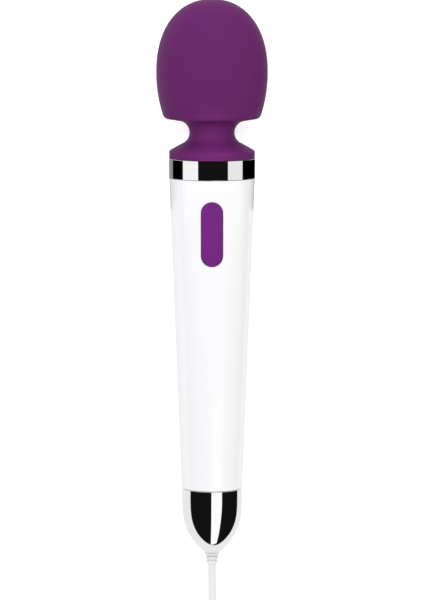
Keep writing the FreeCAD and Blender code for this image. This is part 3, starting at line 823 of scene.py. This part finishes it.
# ---- adapter and strap ------------------------------------------------------------------------
CASE_PARTS = ((1, 0.36), (-1, 0.64))     # side and share of the length of each part of the case
HALF_GROOVE = 0.2
CASE_ROUNDING = 3.2
CASE_LINING = 1.2
ADAPTER_BOOT_R = 4.7
ADAPTER_BOOT_TAPER = 0.5
ADAPTER_BOOT_BORE = 2.25
ADAPTER_BOOT_SLOT = 0.9
ADAPTER_BOOT_RIBS = 3


def make_adapter():
    """Two-part moulded case with a fine parting groove over its lining."""
    size = ADAPTER_SIZE / MM
    bm = bmesh.new()
    for side, share in CASE_PARTS:
        verts = bmesh.ops.create_cube(bm, size=1.0)["verts"]
        part = share * size.y - HALF_GROOVE
        bmesh.ops.scale(bm, vec=(size.x, part, size.z), verts=verts)
        bmesh.ops.translate(bm, vec=(0, side * (size.y - part) / 2, 0), verts=verts)
        outer = [
            e for e in {e for v in verts for e in v.link_edges}
            if all(v.co.y * side > size.y / 2 - 0.1 for v in e.verts)
            or abs(e.verts[0].co.y - e.verts[1].co.y) > 1
        ]
        bmesh.ops.bevel(
            bm, geom=outer, offset=CASE_ROUNDING, segments=6, profile=0.5, affect="EDGES", material=-1
        )
    lining = bmesh.ops.create_cube(bm, size=1.0)["verts"]
    inner = (size.x - 2 * CASE_LINING, size.y * 0.6, size.z - 2 * CASE_LINING)
    bmesh.ops.scale(bm, vec=inner, verts=lining)
    body = new_piece("adapter_case", bm, ADAPTER, smooth_angle=30)
    round_edges(body, 0.25, segments=2, angle=50)
    settle(body, ADAPTER_WHITE, "white_adapter", "handle", "adapter_body")
    return body


def make_adapter_boot():
    """Short ribbed boot where the lead goes into the adapter."""
    start = ADAPTER_SIZE.y / MM / 2 - 0.5
    end = start + BOOT_REACH / MM + 0.4
    pitch = (end - start) / ADAPTER_BOOT_RIBS
    outline = [(ADAPTER_BOOT_BORE, start), (ADAPTER_BOOT_R, start)]
    for rib in range(ADAPTER_BOOT_RIBS):
        y = start + rib * pitch
        radius = ADAPTER_BOOT_R - ADAPTER_BOOT_TAPER * rib
        slot = radius - ADAPTER_BOOT_SLOT
        outline += [(radius, y + pitch * 0.6), (slot, y + pitch * 0.68), (slot, y + pitch * 0.95)]
    outline.append((ADAPTER_BOOT_BORE, end))
    bm = bmesh.new()
    verts = [bm.verts.new((r, y, 0)) for r, y in outline]
    spin_round(bm, verts, loop_edges(bm, verts), (0, 0, 0), (0, 1, 0), 48)
    boot = new_piece("adapter_lead_boot", bm, ADAPTER)
    settle(boot, PALE_BOOT, "pale_boot", "handle", "adapter_boot")
    return boot


BLADE = Vector((1.5, 17.0, 6.3))
BLADE_GAP = 12.7
HOLE_R = 1.5
HOLE_STEPS = 48
HOLE_TO_NOSE = 4.2
NOSE_ROUNDING = 1.3


def blade_sheet(bm):
    """Flat blade in x and y, its nose towards -x, grown from the rim of its hole at the origin."""
    rim = bmesh.ops.create_circle(bm, segments=HOLE_STEPS, radius=HOLE_R)["verts"]
    edges = list({e for v in rim for e in v.link_edges})
    grown = bmesh.ops.extrude_edge_only(bm, edges=edges)["geom"]
    outer = [g for g in grown if isinstance(g, bmesh.types.BMVert)]
    half = BLADE.z / 2
    ends = (-HOLE_TO_NOSE, BLADE.y - HOLE_TO_NOSE)
    for v in outer:
        reach = ends[1] if v.co.x > 0 else -ends[0]
        v.co *= min(half / max(abs(v.co.y), 1e-6), reach / max(abs(v.co.x), 1e-6))
        centre = Vector((ends[0] + NOSE_ROUNDING, math.copysign(half - NOSE_ROUNDING, v.co.y), 0))
        if v.co.x < centre.x and abs(v.co.y) > abs(centre.y):
            v.co = centre + (v.co - centre).normalized() * NOSE_ROUNDING
    for side in (-half, half):
        corner = Vector((ends[1], side, 0))
        min(outer, key=lambda v: (v.co - corner).length).co = corner
    return rim + outer


def make_blades():
    """Flat blades with rounded noses and the usual hole near the tip."""
    bm = bmesh.new()
    hole_y = -ADAPTER_SIZE.y / MM / 2 - BLADE.y + HOLE_TO_NOSE
    for side in (-1, 1):
        for v in blade_sheet(bm):
            v.co = (side * BLADE_GAP / 2 - BLADE.x / 2, hole_y + v.co.x, v.co.y)
    grown = bmesh.ops.extrude_face_region(bm, geom=bm.faces[:])
    moved = [g for g in grown["geom"] if isinstance(g, bmesh.types.BMVert)]
    bmesh.ops.translate(bm, vec=(BLADE.x, 0, 0), verts=moved)
    blades = new_piece("plug_blades", bm, ADAPTER)
    round_edges(blades, 0.2, segments=2)
    settle(blades, STEEL, "steel", "handle", "adapter_blades")
    return blades


STRAP_THICK = 0.8
STRAP_CORNER = 2.0
CORNER_STEPS = 4
STRAP_LAP_GAP = 0.1
STRAP_OVERLAP = 7        # the points of the loop that the free end covers a second time
STRAP_ROWS = 6


def strap_loop(half_x, half_z):
    """Round-cornered loop of (x, z, outward x, outward z) about the bundle of turns."""
    loop = []
    for number, (side_x, side_z) in enumerate(((1, 1), (-1, 1), (-1, -1), (1, -1))):
        corner_x = side_x * (half_x - STRAP_CORNER)
        corner_z = side_z * (half_z - STRAP_CORNER)
        for step in range(CORNER_STEPS + 1):
            angle = TURN / 4 * (number + step / CORNER_STEPS)
            out_x, out_z = math.cos(angle), math.sin(angle)
            loop.append((corner_x + STRAP_CORNER * out_x, corner_z + STRAP_CORNER * out_z, out_x, out_z))
    return loop


def make_strap():
    """Hook-and-loop strap once round the bundle of turns, with its free end lapped over it."""
    low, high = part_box("cord_tie")
    middle = (low + high) / 2 / MM
    size = (high - low) / MM
    loop = strap_loop(size.x / 2 - STRAP_THICK, size.z / 2 - STRAP_THICK)
    path = [point[:2] for point in loop]
    for number, (x, z, out_x, out_z) in enumerate(loop[:STRAP_OVERLAP]):
        lift = (STRAP_THICK + STRAP_LAP_GAP) * min(1.0, (number + 1) / 2)
        path.append((x + lift * out_x, z + lift * out_z))
    bm = bmesh.new()
    verts = [bm.verts.new((middle.x + x, low.y / MM, middle.z + z)) for x, z in path]
    edges = loop_edges(bm, verts, closed=False)
    for row in range(STRAP_ROWS):
        grown = bmesh.ops.extrude_edge_only(bm, edges=edges)["geom"]
        moved = [g for g in grown if isinstance(g, bmesh.types.BMVert)]
        edges = [
            g for g in grown
            if isinstance(g, bmesh.types.BMEdge) and set(g.verts) <= set(moved)
        ]
        bmesh.ops.translate(bm, vec=(0, size.y / STRAP_ROWS, 0), verts=moved)
    for v in bm.verts:       # bent along the arc of the turns
        from_centre = COIL_X / MM - v.co.x
        aside = v.co.y - COIL_Y / MM
        v.co.x = COIL_X / MM - math.sqrt(from_centre ** 2 - aside ** 2)
    strap = new_piece("coil_strap", bm, Matrix.Identity(4), smooth_angle=50)
    modify(strap, "SOLIDIFY", thickness=STRAP_THICK * MM, offset=1.0)
    round_edges(strap, 0.2, segments=2, angle=60)
    settle(strap, STRAP, "tie_black", "handle", "cord_tie")
    return strap


adapter_case = make_adapter()
adapter_boot = make_adapter_boot()
blades = make_blades()
strap = make_strap()

curve.materials.append(LEAD)
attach(lead, "handle")
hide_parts("cord_lead", "cord_tail", "cord_coil")

for put_away in (lead, adapter_case, strap):
    put_away.visible_glossy = False      # keeps the put-away lead out of the bright cap

# ---- floor and light ----------------------------------------------------------------------------
REFLECTED_ONLY = {"camera": False, "diffuse": False, "shadow": False, "transmission": False}
FLOOR_SIZE = 12.0
FLOOR_GLOW = 0.52
MIRRORED_X = (-0.75, 0.07)
MIRRORED_Y = (-3.0, 3.0)
MIRRORED_GLOW = 0.9
RING_CARDS = ((-0.2, 0.034, 0.269, 1.0), (0.2, 0.016, 0.222, 0.88))    # x, low, high, glow
RING_FLOOR_CARDS = (     # name, x ends, reach towards the tail and the head, height, glow
    ("ring_flag", (-0.6, -0.065), (0.025, 0.007), 0.0006, 0.0),
    ("ring_flag", (0.0, 0.6), (0.025, 0.007), 0.0006, 0.0),
    ("ring_flag", (-1.2, -0.2), (0.11, 0.05), 0.0002, 0.0),
    ("ring_edge_card", (-0.065, -0.02), (0.025, 0.007), 0.0006, 0.3),
)
RING_CARD_WIDTH = 0.1
RING_CARD_SHIFT = -0.012
CAP_CARD_RADIUS = 0.3
CAP_CARD_GLOW = 1.08
CAP_CARD_ROWS = 16
CAP_CARD_ANGLES = (4.0, 88.0)     # degrees from the vertical, over the cap and behind it
CAP_CARD_LEFT = (-0.034, -0.064)  # x of each edge at those angles, in shares of the radius
CAP_CARD_RIGHT = (0.83, 0.26)
WORLD_ABOVE = 1.02
WORLD_BELOW = 0.84
WORLD_MIRRORED = (0.006, 0.006, 0.0065, 1)


def stage_sheet(name, bm, colour, glow, **seen_by):
    """Part of the studio: a sheet that glows or swallows light; seen_by says which rays see it."""
    mesh = bpy.data.meshes.new(name)
    bm.to_mesh(mesh)
    bm.free()
    sheet = bpy.data.objects.new(name, mesh)
    scene.collection.objects.link(sheet)
    finish = Finish(name, base_color=(*colour, 1), roughness=1.0, specular_ior_level=0.0)
    finish.shader.inputs["Emission Color"].default_value = (1, 1, 1, 1)
    finish.shader.inputs["Emission Strength"].default_value = glow
    mesh.materials.append(finish.material)
    for ray, seen in seen_by.items():
        setattr(sheet, "visible_" + ray, seen)


def mirrored_card(name, glow, rows, point):
    """Card that only glossy surfaces see, its places given by point(u, v); without glow it is black."""
    bm = bmesh.new()
    for v in bmesh.ops.create_grid(bm, x_segments=1, y_segments=rows, size=0.5)["verts"]:
        v.co = point(v.co.x + 0.5, v.co.y + 0.5)
    stage_sheet(name, bm, (0, 0, 0), glow, **REFLECTED_ONLY)


def between(ends, share):
    return ends[0] + share * (ends[1] - ends[0])


def flat_card(name, x_ends, y_ends, z, glow):
    mirrored_card(name, glow, 1, lambda u, v: (between(x_ends, u), between(y_ends, v), z))


def make_floor():
    """The floor as it is seen, and a dimmer, narrower one that glossy surfaces mirror."""
    bm = bmesh.new()
    bmesh.ops.create_grid(bm, x_segments=1, y_segments=1, size=FLOOR_SIZE)
    stage_sheet("floor", bm, (0.85, 0.85, 0.85), FLOOR_GLOW, diffuse=False, glossy=False)
    flat_card("floor_mirrored", MIRRORED_X, MIRRORED_Y, -0.0005, MIRRORED_GLOW)


def ring_cards():
    """Upright white cards on both sides of the trim ring, and black and grey ones on the floor."""
    ring_y = on_axis((RING[0] + RING[1]) / 2).y
    ring_z = on_axis(RING[0]).z
    for x, low, high, glow in RING_CARDS:
        start = Vector((x, ring_y + RING_CARD_SHIFT - RING_CARD_WIDTH / 2, ring_z + low))
        size = Vector((0, RING_CARD_WIDTH, high - low))
        mirrored_card("ring_card", glow, 1, lambda u, v: start + size * Vector((0, u, v)))
    for name, x_ends, (y_before, y_after), z, glow in RING_FLOOR_CARDS:
        flat_card(name, x_ends, (ring_y - y_before, ring_y + y_after), z, glow)


def cap_card():
    """Strip light over the end cap, bent down behind it to the floor and narrower there."""
    middle = on_axis(CAP[0] + 14.0)

    def point(u, v):
        angle = math.radians(between(CAP_CARD_ANGLES, v))
        x = between((between(CAP_CARD_LEFT, v), between(CAP_CARD_RIGHT, v)), u)
        return middle + Vector((x, -math.sin(angle), math.cos(angle))) * CAP_CARD_RADIUS

    mirrored_card("cap_card", CAP_CARD_GLOW, CAP_CARD_ROWS, point)


def add_light(name, kind, place, towards, energy, **settings):
    """Light that neither the camera nor a glossy surface sees."""
    data = bpy.data.lights.new(name, kind)
    data.energy = energy
    for key, value in settings.items():
        setattr(data, key, value)
    lamp = bpy.data.objects.new(name, data)
    scene.collection.objects.link(lamp)
    lamp.location = place
    lamp.rotation_mode = "QUATERNION"
    lamp.rotation_quaternion = (Vector(towards) - Vector(place)).to_track_quat("-Z", "Y")
    lamp.visible_camera = False
    lamp.visible_glossy = False


def soft_light(name, place, towards, size, strength, colour=(1, 1, 1)):
    """Soft square light, its strength the same whatever its size."""
    energy = strength * size * size * math.pi
    add_light(name, "AREA", place, towards, energy, shape="SQUARE", size=size, color=colour)


def neck_light():
    """Narrow spot that opens up the shadow between the head and the collar."""
    aim = on_axis(78.3) + Vector((0, 0, 0.016))
    add_light(
        "neck_light", "SPOT", aim + Vector((0, 0.05, 0.29)), aim, 2.2,
        spot_size=math.radians(6.4), spot_blend=1.0, shadow_soft_size=0.01,
    )


def make_world():
    """Soft surround, brighter from above, and dark wherever a glossy surface mirrors it."""
    world = bpy.data.worlds.new("studio")
    world.use_nodes = True
    nodes, links = world.node_tree.nodes, world.node_tree.links
    direction = nodes.new("ShaderNodeTexCoord")
    split = nodes.new("ShaderNodeSeparateXYZ")
    height = nodes.new("ShaderNodeMapRange")
    ends = {"From Min": -1.0, "From Max": 1.0, "To Min": WORLD_BELOW, "To Max": WORLD_ABOVE}
    for socket, value in ends.items():
        height.inputs[socket].default_value = value
    path = nodes.new("ShaderNodeLightPath")
    mix = nodes.new("ShaderNodeMix")
    mix.data_type = "RGBA"
    mix.inputs[7].default_value = WORLD_MIRRORED
    links.new(direction.outputs["Generated"], split.inputs[0])
    links.new(split.outputs["Z"], height.inputs["Value"])
    links.new(height.outputs[0], mix.inputs[6])
    links.new(path.outputs["Is Glossy Ray"], mix.inputs["Factor"])
    links.new(mix.outputs[2], nodes["Background"].inputs["Color"])
    scene.world = world


make_floor()
ring_cards()
cap_card()
make_world()
neck_light()
violet_place = HEAD_TOP + Vector((-0.22, 0.12, 0.26))
soft_light("violet_fill", violet_place, on_axis(30), 0.2, 1.2, (0.55, 0.4, 1.0))
soft_light("beyond_head", (0.25, 0.95, 0.5), on_axis(81), 0.8, 1.5)
soft_light("overhead", (-0.45, 0.9, 1.4), (0, 0, 0), 1.4, 0.45)
